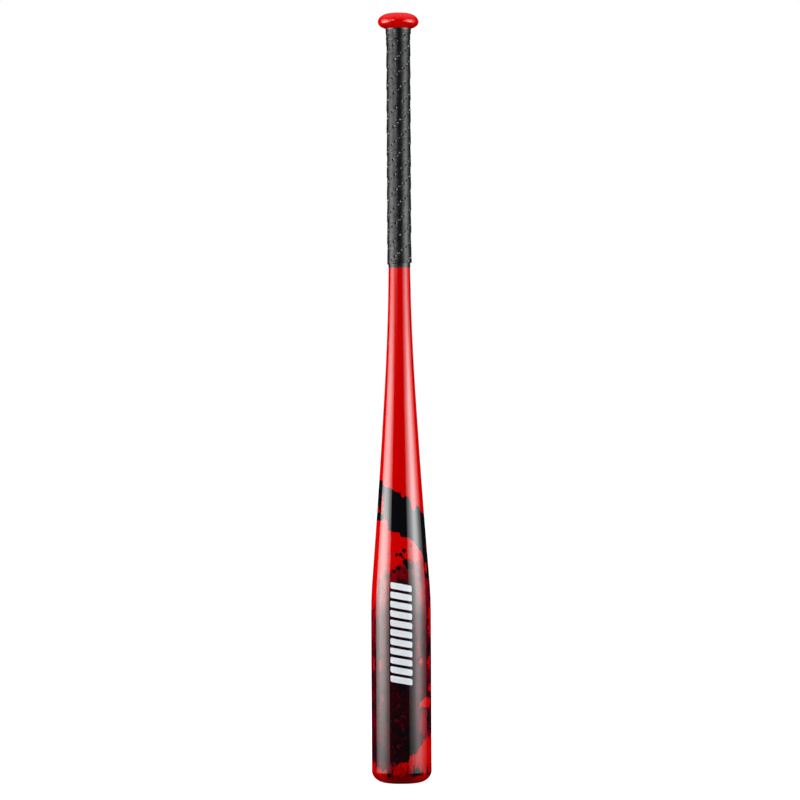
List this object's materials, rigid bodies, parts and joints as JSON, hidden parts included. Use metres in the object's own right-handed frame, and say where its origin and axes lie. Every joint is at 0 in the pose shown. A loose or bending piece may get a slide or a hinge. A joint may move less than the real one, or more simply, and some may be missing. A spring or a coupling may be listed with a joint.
{
  "type": "baseball bat",
  "caption": "One-piece aluminium baseball bat with a red and black barrel, a long taper, a perforated wrapped black grip and a round red knob.",
  "frame": {"origin": "centre of the flat face at the barrel end, the lowest point of the standing bat", "axes": "+Z along the bat's axis from the barrel end to the knob; -Y is the side that shows the middle of the barrel graphic"},
  "size_m": [0.0666, 0.0666, 0.858],
  "materials": {
    "red_lacquer": "gloss red lacquer over aluminium with a black brushed graphic on the barrel",
    "knob_lacquer": "gloss red lacquer over aluminium",
    "bare_weld": "bare weld metal",
    "cap_polymer": "moulded dark red polyurethane, smooth",
    "grip_leatherette": "black perforated synthetic leather, soft sheen",
    "black_vinyl": "smooth black vinyl tape, semi gloss",
    "plug_plastic": "black moulded plastic",
    "adhesive_tape": "cream double-sided tape",
    "foam": "dark grey closed-cell foam"
  },
  "bodies": {
    "root": {"bat_shell": "red_lacquer", "end_cap": "cap_polymer", "barrel_foam_damper": "foam", "handle_damping_plug": "foam", "knob": "knob_lacquer", "knob_weld_bead": "bare_weld", "knob_end_plug": "plug_plastic", "knob_end_tape": "black_vinyl", "grip_tape": "grip_leatherette", "grip_adhesive_strip": "adhesive_tape", "grip_finish_tape": "black_vinyl"}
  },
  "joints": []
}
